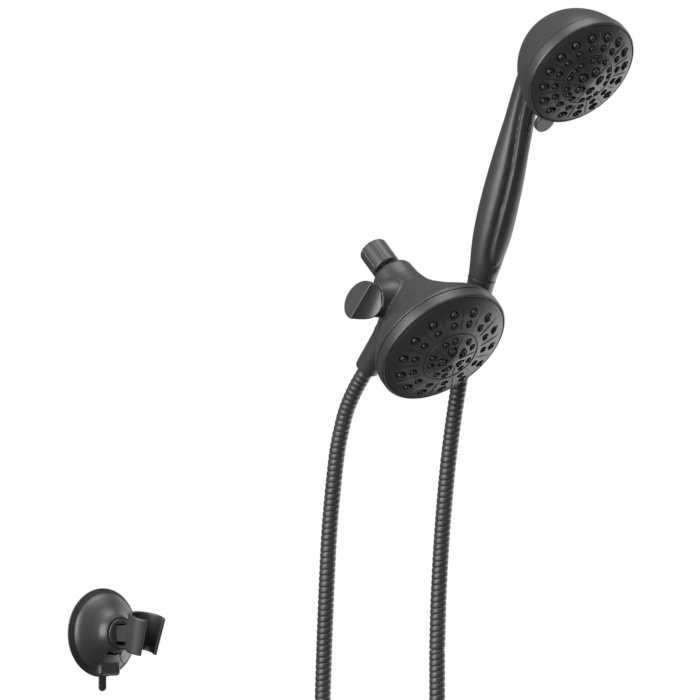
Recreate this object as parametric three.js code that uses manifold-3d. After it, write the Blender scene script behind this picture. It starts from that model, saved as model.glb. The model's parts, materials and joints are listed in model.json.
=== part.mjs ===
// Shower set: a fixed spray head with a diverter on its ball joint, a handset resting in a dock beside it,
// the metal hose that joins the two, and a suction bracket that holds the handset at another height.
// Millimetres. Origin: centre of the inlet collar's open end. +Z up, the wall towards +Y, spray towards -Y.

import * as THREE from 'three';
import { mergeVertices } from 'three/addons/utils/BufferGeometryUtils.js';
import Module from 'manifold-3d';

const wasm = await Module();
wasm.setup();

// ---- driving dimensions -------------------------------------------------------------------------

const GAP = 0.3;                 // left between pieces that touch
const FINENESS = 0.74;           // facets round a curve, as a share of the number asked for
const HEAD_LEAN = 131;           // turn about X that takes +Z to the fixed head's axis
const HEAD_LENGTH = 131.3;       // collar end to the front edge of the bezel, along that axis

const BALL_Z = 42;               // ball centre, along the head's axis
const BALL_R = 11;
const LINER_R = 12.5;            // outside of the slip liner on the ball
const THREAD_R = 10.48;          // half-inch pipe thread, female wall
const NIPPLE_R = 9.6;            // half-inch pipe thread, male wall

const COLLAR_R = 13.3;
const COLLAR_LENGTH = 26;
const COLLAR_GROOVES = 6;

const MOUTH_Z = 34.3;            // start of the housing
const KNOB_Z = 66.6;             // diverter axis, along the head's axis
const KNOB_START = 43.6;         // knob base, from the head's axis
const KNOB_END = 58.5;           // middle of the knob's slanted end
const KNOB_SLANT = 22.8;         // of its end
const KNOB_ROLL = 23.5;          // turned on its own axis from the head's up direction
const OUTLET_Z = 64;             // hose outlet, along the head's axis
const NUT_START = 45.8;          // outlet nut, from the head's axis
const NUT_END = 87;

const HANDLE_LEAN = 20;          // handset leans forward from upright
const SEAM = [62, -79, -24];     // joint between the handle and its hose nut
const CONE_LENGTH = 48;          // hose nut under the handle
const HAND_FACE = [0, -66, 221]; // handset bezel centre, in the handle's frame
const HAND_FACE_LEAN = 105.5;    // turn about X from the handle's frame to the spray axis

const HOSE_R = 7;
const HOSE_SIDES = 8;

const CUP = [-209.5, 130, -343.7];  // suction cup centre, on the wall
const CUP_R = 40;
const LEVER_PIN_Z = 14;             // lever pin, out from the wall
const PIN_TRAVEL = 1.6;             // the lever pin draws back by this
const LEVER_INNER_R = 19.6;
const TILT_PIN_Z = 24;              // clip arm pin, out from the wall
const CLIP_Z = 59.5;               // clip axis, out from the wall
const CLIP_RISE = 0;                // clip centre, above the bracket's axis
const CLIP_LEAN = 15;

const FIXED_FACE = {
  prefix: 'head',
  rim: 63.3,
  band: 10.8,
  plate: [[60.4, -0.7], [58, 2.1], [48.4, 6.7], [28.3, 12.3]],
  centre: [[27.9, 12.4], [11.5, 17.0], [0, 19.2]],
  sectors: 14,
  phase: 8.2,
  rings: [{ radius: 48.4, nub: 2.9 }, { radius: 37.5, nub: 2.3 }],
  lobePhase: 49.5,
  lobeNozzles: [
    { radius: 21.9, nub: 2.2, angles: [-13.3, 13.3] },
    { radius: 11.5, nub: 3.0, angles: [0] },
  ],
  tab: null,
};

const HAND_FACE_UNIT = {
  prefix: 'handset',
  rim: 55.8,
  band: 10.5,
  plate: [[53.0, -0.7], [51.0, 1.7], [43.4, 5.2], [26.7, 9.6]],
  centre: [[26.3, 9.8], [11.4, 14.2], [0, 16.1]],
  sectors: 16,
  phase: 15.4,
  rings: [{ radius: 43.4, nub: 2.9 }, { radius: 33.6, nub: 2.3 }],
  lobePhase: 10.4,
  lobeNozzles: [
    { radius: 22.5, nub: 2.1, angles: [-19.8, 0, 19.8] },
    { radius: 11.4, nub: 3.4, angles: [0] },
  ],
  tab: -101,
};

// ---- materials ----------------------------------------------------------------------------------

function material(slot, colour, roughness, metalness = 0) {
  const result = new THREE.MeshStandardMaterial({ color: colour, roughness, metalness });
  result.name = slot;
  return result;
}

const black = material('black_finish', 0x2a2a2b, 0.45);
const knobBlack = material('knob_black', 0x2c2c2d, 0.38);
const faceBlack = material('face_plastic', 0x222223, 0.5);
const rubber = material('black_rubber', 0x19191a, 0.7);
const hoseBlack = material('hose_black', 0x2b2b2c, 0.4, 0.6);
const brass = material('brass', 0xb08d4a, 0.35, 1);
const steel = material('steel', 0xa5a7aa, 0.35, 1);
const whitePlastic = material('white_plastic', 0xd8d8d2, 0.6);
const greyPlastic = material('grey_plastic', 0x77797b, 0.6);

// ---- solids -------------------------------------------------------------------------------------

function solid(geometry) {
  const bare = new THREE.BufferGeometry();
  bare.setAttribute('position', geometry.getAttribute('position'));
  bare.setIndex(geometry.index);
  const welded = mergeVertices(bare, 1e-3);
  const points = welded.getAttribute('position').array;
  const corners = welded.index.array;
  const triangles = [];
  let volume = 0;
  for (let i = 0; i < corners.length; i += 3) {
    const [a, b, c] = [corners[i], corners[i + 1], corners[i + 2]];
    if (a === b || b === c || a === c) continue;
    triangles.push(a, b, c);
    const [p, q, r] = [a, b, c].map((k) => new THREE.Vector3().fromArray(points, 3 * k));
    volume += p.dot(q.cross(r));
  }
  if (volume < 0) triangles.reverse();
  return new wasm.Manifold(new wasm.Mesh({
    numProp: 3,
    vertProperties: Float32Array.from(points),
    triVerts: Uint32Array.from(triangles),
  }));
}

// Turn an outline of [radius, height] points about Z. An outline that leaves the axis is closed on itself.
function turned(outline, segments = 40) {
  const facets = Math.max(5, Math.round(segments * FINENESS));
  const first = outline[0];
  const last = outline[outline.length - 1];
  const closed = first[0] > 0 || last[0] > 0 ? [...outline, first] : outline;
  const geometry = new THREE.LatheGeometry(closed.map(([r, z]) => new THREE.Vector2(r, z)), facets);
  geometry.rotateX(Math.PI / 2);
  return solid(geometry);
}

function tube(inner, outer, low, high, segments = 32) {
  if (inner === 0) return turned([[0, low], [outer, low], [outer, high], [0, high]], segments);
  return turned([[inner, low], [outer, low], [outer, high], [inner, high]], segments);
}

function box(low, high) {
  const size = high.map((value, i) => value - low[i]);
  const geometry = new THREE.BoxGeometry(...size);
  geometry.translate(...low.map((value, i) => value + size[i] / 2));
  return solid(geometry);
}

// Push a flat outline of [y, z] points along X, from -half to +half.
function slab(outline, half) {
  const shape = new THREE.Shape(outline.map(([y, z]) => new THREE.Vector2(y, z)));
  const geometry = new THREE.ExtrudeGeometry(shape, { depth: 2 * half, bevelEnabled: false });
  geometry.applyMatrix4(new THREE.Matrix4().set(0, 0, 1, -half, 1, 0, 0, 0, 0, 1, 0, 0, 0, 0, 0, 1));
  return solid(geometry);
}

// Join level elliptical sections [height, middle y, half width, half depth] into one skin.
function lofted(sections, segments = 20) {
  const points = [];
  const corners = [];
  for (const [z, middle, halfWidth, halfDepth] of sections) {
    for (let i = 0; i < segments; i += 1) {
      const angle = (i / segments) * 2 * Math.PI;
      points.push(halfWidth * Math.cos(angle), middle + halfDepth * Math.sin(angle), z);
    }
  }
  for (let row = 0; row < sections.length - 1; row += 1) {
    for (let i = 0; i < segments; i += 1) {
      const a = row * segments + i;
      const b = row * segments + ((i + 1) % segments);
      corners.push(a, b, b + segments, a, b + segments, a + segments);
    }
  }
  for (const row of [0, sections.length - 1]) {
    const hub = points.length / 3;
    points.push(0, sections[row][1], sections[row][0]);
    for (let i = 0; i < segments; i += 1) {
      const a = row * segments + i;
      const b = row * segments + ((i + 1) % segments);
      if (row === 0) corners.push(hub, b, a);
      else corners.push(hub, a, b);
    }
  }
  const geometry = new THREE.BufferGeometry();
  geometry.setAttribute('position', new THREE.Float32BufferAttribute(points, 3));
  geometry.setIndex(corners);
  return solid(geometry);
}

function turn(axis, degrees) {
  const matrix = new THREE.Matrix4();
  return matrix.makeRotationAxis(new THREE.Vector3(...axis), THREE.MathUtils.degToRad(degrees));
}

function shift(x, y, z) {
  return new THREE.Matrix4().makeTranslation(x, y, z);
}

function placed(body, ...matrices) {
  const matrix = matrices.reduce((total, next) => total.clone().multiply(next));
  return body.transform(matrix.toArray());
}

// Frames: the fixed head, its face, the handle, the handset's face, and the wall bracket.
const headFrame = turn([1, 0, 0], HEAD_LEAN);
const headFaceFrame = headFrame.clone().multiply(shift(0, 0, HEAD_LENGTH));
const handleFrame = shift(...SEAM).multiply(turn([1, 0, 0], HANDLE_LEAN));
const toHandFace = shift(...HAND_FACE).multiply(turn([1, 0, 0], HAND_FACE_LEAN));
const handFaceFrame = handleFrame.clone().multiply(toHandFace);
const bracketFrame = shift(...CUP).multiply(turn([1, 0, 0], 90));

const sideways = turn([0, 1, 0], -90);    // +Z to -X
const downward = turn([1, 0, 0], 90);     // +Z to -Y

const part = new THREE.Group();
part.name = 'shower_set';

function add(name, body, slot, frame) {
  const mesh = placed(body, frame).simplify(0.04).getMesh();
  const geometry = new THREE.BufferGeometry();
  geometry.setAttribute('position', new THREE.Float32BufferAttribute(mesh.vertProperties, 3));
  geometry.setIndex(Array.from(mesh.triVerts));
  geometry.computeVertexNormals();
  const piece = new THREE.Mesh(geometry, slot);
  piece.name = name;
  part.add(piece);
}

// ---- inlet: what screws onto the pipe -----------------------------------------------------------

function inletCollar() {
  let body = turned([
    [THREAD_R, 0], [12.5, 0], [COLLAR_R, 0.9], [COLLAR_R, 25.2], [12.6, COLLAR_LENGTH],
    [8, COLLAR_LENGTH], [8, 16.2], [THREAD_R, 16.2],
  ], 32);
  for (let i = 0; i < COLLAR_GROOVES; i += 1) {
    const angle = (i / COLLAR_GROOVES) * 360 + 57;
    const groove = placed(tube(0, 0.7, 3, 23, 6), shift(COLLAR_R + 0.15, 0, 0));
    body = body.subtract(placed(groove, turn([0, 0, 1], angle)));
  }
  return body;
}

function ballStem() {
  const behind = Math.sqrt(BALL_R ** 2 - 6.5 ** 2);
  const outline = [[4.2, 15.5], [6.3, 15.5], [6.3, 11.9], [10, 11.9], [10, 15.9], [6.5, 15.9]];
  const start = Math.PI - Math.atan2(6.5, behind);
  const end = Math.asin(4.2 / BALL_R);
  for (let i = 0; i <= 6; i += 1) {
    const angle = start + ((end - start) * i) / 6;
    outline.push([BALL_R * Math.sin(angle), BALL_Z + BALL_R * Math.cos(angle)]);
  }
  return turned(outline, 24);
}

function addInlet() {
  add('inlet_collar', inletCollar(), black, headFrame);
  const screen = turned([[0, 8.0], [9.4, 8.6], [10.1, 9.0], [10.1, 9.5], [9, 9.5], [0, 8.5]], 18);
  add('filter_screen', screen, steel, headFrame);
  add('inlet_washer', tube(6.2, 10.1, 9.8, 11.6, 18), rubber, headFrame);
  add('flow_restrictor', tube(1.4, 6.0, 12.2, 15.2, 12), whitePlastic, headFrame);
  add('ball_stem', ballStem(), brass, headFrame);
}

// ---- ball joint ---------------------------------------------------------------------------------

// A ring cut from a hollow ball, between two angles from the head's axis.
function ballRing(inner, outer, from, to) {
  const outline = [];
  const steps = 3;
  for (let i = 0; i <= steps; i += 1) {
    const angle = THREE.MathUtils.degToRad(from + ((to - from) * i) / steps);
    outline.push([outer * Math.sin(angle), BALL_Z + outer * Math.cos(angle)]);
  }
  for (let i = steps; i >= 0; i -= 1) {
    const angle = THREE.MathUtils.degToRad(from + ((to - from) * i) / steps);
    outline.push([inner * Math.sin(angle), BALL_Z + inner * Math.cos(angle)]);
  }
  return turned(outline, 24);
}

function addBallJoint() {
  add('ball_liner', ballRing(BALL_R + GAP, LINER_R, 35, 80), whitePlastic, headFrame);
  add('ball_retainer', turned([
    [12.5, 31.5], [14.6, 31.5], [15.4, 32.3], [15.4, 46], [13.2, 46], [13.2, 40.4],
    [11.35, 40], [10.5, 37],
  ], 28), black, headFrame);
  add('ball_seat', turned([
    [12.2, 46.5], [13.4, 46.5], [13.4, 54], [6.2, 54], [7.0, 53], [10.2, 50],
  ], 24), whitePlastic, headFrame);
  add('seat_seal', tube(13.7, 15.5, 48, 50, 20), rubber, headFrame);
}

const dockScrewAxis = shift(0, -3, 89.4).multiply(turn([0, 1, 0], 90));

// ---- fixed head ---------------------------------------------------------------------------------

const TRUMPET = [
  [17.6, MOUTH_Z], [19.6, 35.2], [20.4, 44], [22.4, 56], [25.6, 66], [36.0, 82], [50.5, 99.8], [57.6, 108],
  [61.4, 113.6], [63.0, HEAD_LENGTH - 11.1],
];

function housing() {
  const rim = HEAD_LENGTH;
  let body = turned([[0, MOUTH_Z], ...TRUMPET, [0, rim - 11.1]], 34);
  const bossEnd = KNOB_START - GAP;
  const boss = turned([
    [0, 0], [18.4, 0], [18.4, 24], [17.2, 28.5], [16, 34], [15.6, 38], [15.6, bossEnd], [0, bossEnd],
  ], 28);
  const outlet = turned([[0, 0], [14.5, 0], [14.5, 26], [12.2, 40], [12.2, 45.5], [0, 45.5]], 28);
  body = body.add(placed(boss, shift(0, 0, KNOB_Z), sideways));
  body = body.add(placed(outlet, shift(0, 0, OUTLET_Z), downward));
  const rear = turned([[0, 33], [15.8, 33], [15.8, 54.4], [0, 54.4]], 24);
  const front = turned([
    [0, 80], [24, 80], [40, 96.5], [52, 109], [56.2, rim - 15.2], [60.6, rim - 15.2],
    [60.6, rim - 11], [0, rim - 11],
  ], 32);
  const passage = tube(0, 5, 54, 81, 12);
  const chamber = placed(tube(0, 9, -14, KNOB_START, 20), shift(0, 0, KNOB_Z), sideways);
  const port = placed(tube(0, 8.7, 26, 46, 20), shift(0, 0, OUTLET_Z), downward);
  const link = placed(tube(0, 5, 0, 27, 12), shift(0, 0, OUTLET_Z), downward);
  const screwHole = placed(tube(0, 1.4, 20, 60, 8), dockScrewAxis);
  const hollows = [rear, front, passage, chamber, port, link, screwHole];
  return hollows.reduce((total, hollow) => total.subtract(hollow), body);
}

function addHousing() {
  add('housing', housing(), black, headFrame);
  add('outlet_nipple', placed(tube(5, 8.4, 27, 45.6, 20).add(tube(5, NIPPLE_R, 45.6, 60, 20)),
    shift(0, 0, OUTLET_Z), downward), brass, headFrame);
}

function diverterKnob() {
  let body = turned([
    [0, KNOB_START], [15.3, KNOB_START], [16.6, 46.5], [17.3, 50.5], [17.4, 58], [17.2, 68], [0, 68],
  ], 28);
  const slant = turn([1, 0, 0], -KNOB_SLANT);
  const beyond = placed(box([-30, -40, 0], [30, 40, 30]), shift(0, 0, KNOB_END), slant);
  // thumb scoop on the side that faces the user
  const scoop = placed(tube(0, 21, -40, 40, 40), turn([1, 0, 0], 90 - KNOB_SLANT / 2));
  body = body.subtract(beyond).subtract(placed(scoop, shift(22.5, 0, 63.9)));
  body = body.subtract(tube(0, 4.3, KNOB_START - 1, KNOB_START + 3, 14));
  return body.subtract(tube(0, 1.9, KNOB_START, KNOB_START + 8.4, 8));
}

function addDiverter() {
  // local +Z runs out along the knob's axis and local +X faces the way the water leaves
  const knobFrame = headFrame.clone().multiply(shift(0, 0, KNOB_Z)).multiply(
    new THREE.Matrix4().set(0, 0, -1, 0, 0, 1, 0, 0, 1, 0, 0, 0, 0, 0, 0, 1));
  add('diverter_knob', placed(diverterKnob(), turn([0, 0, 1], KNOB_ROLL)), knobBlack, knobFrame);
  let core = tube(0, 8.2, -13.6, 38, 20).add(tube(0, 4, 38, KNOB_START + 2.6, 14));
  core = core.subtract(placed(tube(0, 4, -3, 12, 10), turn([0, 1, 0], 90)));
  core = core.subtract(placed(tube(0, 4, -12, 12, 10), turn([1, 0, 0], 90)));
  core = core.subtract(tube(8.0, 9, 22, 24.4, 20)).subtract(tube(0, 1.9, 40, 48, 8));
  add('diverter_core', core, brass, knobFrame);
  add('core_oring', tube(8.27, 8.6, 22.4, 24, 20), rubber, knobFrame);
  add('knob_screw', tube(0, 1.6, 41, KNOB_START + 8, 8), steel, knobFrame);
}

// ---- spray faces: the same build at two sizes ---------------------------------------------------

function nozzlePlaces(face, inCentre) {
  const places = [];
  if (inCentre) {
    for (let lobe = 0; lobe < 5; lobe += 1) {
      for (const { radius, nub, angles } of face.lobeNozzles) {
        for (const angle of angles) {
          places.push({ radius, nub, angle: face.lobePhase + 72 * lobe + angle });
        }
      }
    }
    return places;
  }
  for (let i = 0; i < face.sectors; i += 1) {
    const angle = face.phase + (360 / face.sectors) * i;
    for (const { radius, nub } of face.rings) places.push({ radius, nub, angle });
  }
  return places;
}

function heightAt(outline, radius) {
  for (let i = 0; i < outline.length - 1; i += 1) {
    const [outer, high] = outline[i];
    const [inner, low] = outline[i + 1];
    if (radius <= outer && radius >= inner) {
      return low + ((high - low) * (radius - inner)) / (outer - inner);
    }
  }
  return outline[0][1];
}

function dome(outline, top, thickness, lastRadius) {
  const upper = outline.map(([r, z]) => [Math.min(r, lastRadius), z - top]);
  const lower = outline.map(([r, z]) => [Math.min(r, lastRadius), z - top - thickness]).reverse();
  return turned([...upper, ...lower], 28);
}

function studs(outline, places, extra, from, to) {
  return places.map(({ radius, nub, angle }) => {
    const height = heightAt(outline, radius);
    const stud = tube(0, nub + extra, height + from, height + to, 6);
    return placed(stud, turn([0, 0, 1], angle), shift(radius, 0, 0));
  });
}

function plateWithHoles(outline, places) {
  const plate = dome(outline, 0, 2, outline[0][0]);
  return plate.subtract(wasm.Manifold.union(studs(outline, places, 0.45, -5, 4)));
}

function nozzleMat(outline, places, lastRadius) {
  const mat = dome(outline, 2.5, 1.2, lastRadius);
  return mat.add(wasm.Manifold.union(studs(outline, places, 0, -3.2, 0.9)));
}

function bezelRing(face) {
  const { rim, band, tab } = face;
  let body = turned([
    [rim - 2.1, -band], [rim - 0.3, -band], [rim, -band + 1], [rim, -0.4], [rim - 0.8, 0.5],
    [rim - 2.1, -0.1],
  ], 44);
  if (tab !== null) {
    const grip = slab([
      [rim - 1.5, -8.6], [rim + 12.6, -7.6], [rim + 13.4, -6.6], [rim + 12.6, -4.2], [rim - 1.5, -2],
    ], 9);
    body = body.add(placed(grip, turn([0, 0, 1], tab - 90)));
  }
  return body;
}

function addFace(face, frame) {
  const name = (piece) => `${face.prefix}_${piece}`;
  const wall = face.rim - 3.3;
  const hub = face.plate[face.plate.length - 1][0];
  const hubTop = face.plate[face.plate.length - 1][1] - 4.2;
  const outer = nozzlePlaces(face, false);
  const inner = nozzlePlaces(face, true);
  const matEdge = face.plate[1][0] - 0.8;
  add(name('bezel'), bezelRing(face), black, frame);
  add(name('face_plate'), plateWithHoles(face.plate, outer), faceBlack, frame);
  add(name('nozzle_mat'), nozzleMat(face.plate.slice(1), outer, matEdge), rubber, frame);
  add(name('centre_plate'), plateWithHoles(face.centre, inner), faceBlack, frame);
  add(name('centre_mat'), nozzleMat(face.centre, inner, face.centre[0][0]), rubber, frame);
  add(name('water_plate'), turned([
    [14, -5.4], [wall - 2, -5.4], [wall - 2, -13.5], [wall, -13.5], [wall, -3.2], [hub, -3.2],
    [hub, hubTop], [hub - 2, hubTop], [hub - 2, -3.2], [14, -3.2],
  ], 24), greyPlastic, frame);
  add(name('gasket'), tube(wall - 2.4, wall - 0.1, -14.9, -13.8, 24), rubber, frame);
  let disc = tube(0, face.rim / 2, -9, -6, 20);
  for (let i = 0; i < 3; i += 1) {
    disc = disc.subtract(placed(tube(0, 4, -10, -5, 8), turn([0, 0, 1], 120 * i + 30), shift(16, 0, 0)));
  }
  add(name('selector_disc'), disc, whitePlastic, frame);
}

// ---- dock for the handset, on the side of the fixed head ----------------------------------------

// Radius of the hose nut at a height below the handle's seam.
function coneRadius(z) {
  return 12.8 + (2.4 * z) / CONE_LENGTH;
}

function dock() {
  const toHandle = headFrame.clone().invert().multiply(handleFrame);
  let socket = turned([
    [coneRadius(-28) + GAP, -28], [15.2, -28], [15.6, -29], [15, -49.2], [14.4, -50],
    [coneRadius(-50) + GAP, -50],
  ], 28);
  socket = socket.subtract(box([0, -8.4, -60], [20, 8.4, -20]));
  const arm = placed(box([-27, -7, -48], [-12.6, 7, -30]), toHandle);
  const saddle = turned([[0, 50], ...TRUMPET.slice(3).map(([r, z]) => [r + 0.6, z]), [0, 121]], 36);
  const pilotHole = placed(tube(0, 1.4, 30, 48.6, 8), dockScrewAxis);
  return arm.add(placed(socket, toHandle)).subtract(saddle).subtract(pilotHole);
}

function dockScrew() {
  return placed(tube(0, 2.6, 28.2, 30.2, 10).add(tube(0, 1.1, 30.2, 48, 8)), dockScrewAxis);
}

// ---- hose and its ends --------------------------------------------------------------------------

function hoseNut(start, end, startR, endR) {
  return turned([
    [9.95, start], [startR - 0.5, start], [startR, start + 0.6], [endR, end - 0.6], [endR - 0.5, end],
    [8.2, end], [8.2, start + 21.6], [9.95, start + 21.6],
  ], 28);
}

function hoseEnd(start, end) {
  return turned([
    [5, start], [9.6, start], [9.6, start + 3.2], [7.9, start + 3.2], [7.9, end], [5, end],
  ], 20);
}

const LOWER_ROUTE = [
  [0, 9.7, -108.8], [0, 25.3, -127], [0, 37, -145], [0, 44.2, -163], [0, 49.6, -181], [0, 56, -217],
  [0, 61, -254], [0, 65.2, -307.7], [0, 68.4, -361], [0, 71, -420], [0, 73.6, -500], [0, 75.6, -600],
  [-0.1, 76, -691.1], [4.1, 69.7, -719.5], [15.6, 52.3, -740.2], [31.4, 28.7, -747.8],
  [47.2, 5.1, -740.2], [58.7, -12.3, -719.5], [62.9, -18.6, -691.1], [62.7, -18, -600],
  [62.3, -16.8, -500], [62.1, -16.1, -420], [62, -16, -361.4],
];

const UPPER_ROUTE = [
  [62, -16, -361], [62, -18.4, -307.7], [62, -23.6, -250], [62, -31.5, -192], [62, -37.6, -160],
  [62, -44.4, -130], [62, -52, -102], [62, -61.9, -71.1],
];

function hose(route) {
  const points = route.map((point) => new THREE.Vector3(...point));
  const path = new THREE.CatmullRomCurve3(points, false, 'centripetal');
  const shape = new THREE.Shape();
  shape.absarc(0, 0, HOSE_R, 0, 2 * Math.PI);
  const steps = Math.round(path.getLength() / 32);
  return solid(new THREE.ExtrudeGeometry(shape, {
    extrudePath: path, steps, curveSegments: HOSE_SIDES / 2, bevelEnabled: false,
  }));
}

function addHose() {
  const outletFrame = headFrame.clone().multiply(shift(0, 0, OUTLET_Z)).multiply(downward);
  const flip = turn([1, 0, 0], 180);
  const origin = new THREE.Matrix4();
  add('outlet_nut', hoseNut(NUT_START, NUT_END, 11.8, 11), black, outletFrame);
  add('outlet_washer', tube(5.6, 9.5, 60.4, 62.1, 16), rubber, outletFrame);
  add('outlet_hose_end', hoseEnd(62.5, NUT_END + 1), brass, outletFrame);
  add('hose_lower', hose(LOWER_ROUTE), hoseBlack, origin);
  add('hose_upper', hose(UPPER_ROUTE), hoseBlack, origin);
  const cone = hoseNut(0.5, CONE_LENGTH, 12.8, coneRadius(-CONE_LENGTH));
  add('handset_nut', placed(cone, flip), black, handleFrame);
  add('handset_washer', placed(tube(5.6, 9.5, 15.4, 17.1, 16), flip), rubber, handleFrame);
  const handsetEnd = hoseEnd(17.5, CONE_LENGTH + 1.3);
  add('handset_hose_end', placed(handsetEnd, flip), brass, handleFrame);
}

// ---- handset ------------------------------------------------------------------------------------

const HANDLE_SECTIONS = [
  [0, 0, 12.4, 12.9], [20, 0, 15.0, 15.7], [42, 0, 17, 18], [66, 0, 17.4, 18.5], [100, 0, 16.4, 17.4],
  [150, 0, 13.3, 13.8], [184, -1.6, 12.7, 13.1], [204, -7, 14, 14], [222, -22, 16.4, 12.5],
];

function handleShell() {
  const { rim, band } = HAND_FACE_UNIT;
  const depth = 63;
  const steps = 6;
  const shell = (radius, reach, end) => {
    const outline = [[0, -reach]];
    for (let i = 1; i <= steps; i += 1) {
      const z = end - (reach + end) * Math.cos((i / steps) * (Math.PI / 2));
      outline.push([radius * Math.sqrt(1 - (z / reach) ** 2), z]);
    }
    return outline;
  };
  const outside = turned([...shell(rim - 0.3, depth, -band - 0.3), [0, -band - 0.3]], 40);
  const inside = turned([
    ...shell(rim - 3.2, depth - 2.8, -band - 4.8), [rim - 2.3, -band - 4.8], [rim - 2.3, 0], [0, 0],
  ], 36);
  const handle = lofted(HANDLE_SECTIONS);
  const bore = lofted(HANDLE_SECTIONS.slice(1).map(([z, y, a, b]) => [z, y, a - 2.6, b - 2.6]), 12);
  const mouth = tube(0, 10.3, -1, 21, 20);
  const body = handle.add(placed(outside, toHandFace));
  return body.subtract(placed(inside, toHandFace)).subtract(bore).subtract(mouth);
}

function addHandset() {
  add('handle_shell', handleShell(), black, handleFrame);
  add('handset_nipple', tube(5, 9.9, 0.4, 14, 20).add(tube(5, NIPPLE_R, -15, 0.4, 20)), brass, handleFrame);
  add('water_tube', tube(5.4, 7, 14.4, 186, 16), whitePlastic, handleFrame);
}

// ---- wall bracket -------------------------------------------------------------------------------

const COVER = [[35.8, 4.6], [35.6, 6], [33.4, 8.8], [29, 12], [22.6, 16], [18, 20], [15.6, 26]];

function suctionCup() {
  const cup = turned([
    [0, 2.6], [10, 2.6], [30, 1.9], [36.6, 0], [CUP_R, 0], [CUP_R, 1.6], [34, 4.1], [11, 6.2], [11, 8.6],
    [3.4, 8.6], [3.4, 4.6], [0, 4.6],
  ], 32);
  const tabEnd = placed(tube(0, 4.2, 0.2, 2.2, 12), shift(0, -48.4, 0));
  return cup.add(box([-4.2, -49, 0.2], [4.2, -36, 2.2])).add(tabEnd);
}

// A tall wedge between two half-planes through the Z axis, facing an angle from +X.
function sector(halfAngle, facing, low, high) {
  const reach = 60;
  const side = reach * Math.tan(THREE.MathUtils.degToRad(halfAngle));
  const corners = [[0, 0], [reach, -side], [reach, side]].map(([x, y]) => new THREE.Vector2(x, y));
  const geometry = new THREE.ExtrudeGeometry(new THREE.Shape(corners), {
    depth: high - low, bevelEnabled: false,
  });
  return placed(solid(geometry), turn([0, 0, 1], facing), shift(0, 0, low));
}

// The flared tongue at the bottom of the cover that belongs to the lever, made wider by a margin.
function leverTongue(margin) {
  const side = [[3.2, -14.4], [6.4, -19.4], [9.7, -22.9], [14.4, -26.4], [20.4, -30], [27, -33], [27, -45]];
  const right = side.map(([x, y]) => [x + margin, y + margin]);
  const outline = [...right, ...right.map(([x, y]) => [-x, y]).reverse()];
  const shape = new THREE.Shape(outline.map(([x, y]) => new THREE.Vector2(x, y)));
  const tongue = solid(new THREE.ExtrudeGeometry(shape, { depth: 40, bevelEnabled: false }));
  return tongue.subtract(tube(0, LEVER_INNER_R - margin, -5, 60, 36));
}

function coverShell() {
  return turned([
    ...COVER, [13.4, 26], [13.4, 18.6], [3.6, 18.6], [3.6, 17], [15, 17], [19.6, 14.4], [25, 10.8],
    [31, 7.4], [33.6, 4.6],
  ], 40);
}

// A round bar along X at a height above the wall.
function crossBar(radius, half, z, segments = 10) {
  return placed(tube(0, radius, -half, half, segments), shift(0, 0, z), turn([0, 1, 0], 90));
}

function bracketCover() {
  let body = coverShell().subtract(leverTongue(0.4));
  body = body.subtract(box([-8.4, -24, 4], [8.4, -8.6, 19.8]));
  for (const side of [-1, 1]) {
    const lug = box([side * 10 - 1.8, -4, 8.6], [side * 10 + 1.8, 4, 17.2]);
    body = body.add(lug);
  }
  // the pin draws back towards the wall when the lever opens
  const holes = crossBar(1.75, 14, LEVER_PIN_Z).add(crossBar(1.75, 14, LEVER_PIN_Z - PIN_TRAVEL));
  const between = box([-14, -1.7, LEVER_PIN_Z - PIN_TRAVEL], [14, 1.7, LEVER_PIN_Z]);
  return body.subtract(holes).subtract(between);
}

function lockLever() {
  let body = coverShell().intersect(leverTongue(0));
  body = body.add(box([-12, -38.6, 5.6], [12, -28.5, 13.4]));
  body = body.subtract(box([-10, -36.6, 3], [10, -30, 11.4]));
  for (const side of [-1, 1]) {
    const outline = [
      [0, 11.6], [-2, 15.6], [-5, 14.8], [-9, 13.2], [-19, 13.2], [-22, 14.4], [-26, 11.6],
      [-26, 9.6], [-9, 10],
    ];
    const cheek = placed(slab(outline, 1.6), shift(side * 5.9, 0, 0));
    const eye = placed(crossBar(2.6, 1.6, LEVER_PIN_Z, 20), shift(side * 5.9, 0, 0));
    body = body.add(cheek).add(eye);
  }
  return body.subtract(crossBar(1.55, 14, LEVER_PIN_Z));
}

// A split ring that grips the hose nut of the handset, on a square arm.
function clip() {
  const leaning = shift(0, CLIP_RISE, CLIP_Z).multiply(turn([1, 0, 0], CLIP_LEAN - 90));
  const wall = [[11.3, -17], [14.2, -17], [14.5, -16.4], [16.9, 16.4], [16.6, 17], [13.7, 17]];
  const ring = turned(wall, 32).subtract(sector(42, -85, -25, 25));
  const arm = slab([[-3.2, 21.4], [3.2, 21.4], [7.3, 25.6], [7.3, 49], [-7.3, 49], [-7.3, 25.6]], 5.2);
  const room = tube(0, 15.2, -40, 40, 32);
  const body = arm.subtract(placed(room, leaning)).add(placed(ring, leaning));
  return body.subtract(crossBar(1.65, 14, TILT_PIN_Z));
}

function addBracket() {
  add('suction_cup', suctionCup(), rubber, bracketFrame);
  const stud = tube(0, 3.1, 6.8, 16.8, 16).subtract(crossBar(1.55, 5, LEVER_PIN_Z));
  add('cup_stud', stud, steel, bracketFrame);
  add('bracket_cover', bracketCover(), black, bracketFrame);
  add('lock_lever', lockLever(), black, bracketFrame);
  add('lever_pin', crossBar(1.4, 11.6, LEVER_PIN_Z), steel, bracketFrame);
  const turret = tube(0, 13.1, 19, 27.6, 28).subtract(box([-5.6, -10.2, 20.4], [5.6, 8.6, 30]));
  add('clip_turret', turret.subtract(crossBar(1.65, 20, TILT_PIN_Z)), black, bracketFrame);
  add('tilt_pin', crossBar(1.4, 11.4, TILT_PIN_Z), steel, bracketFrame);
  add('clip', clip(), black, bracketFrame);
}

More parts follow.
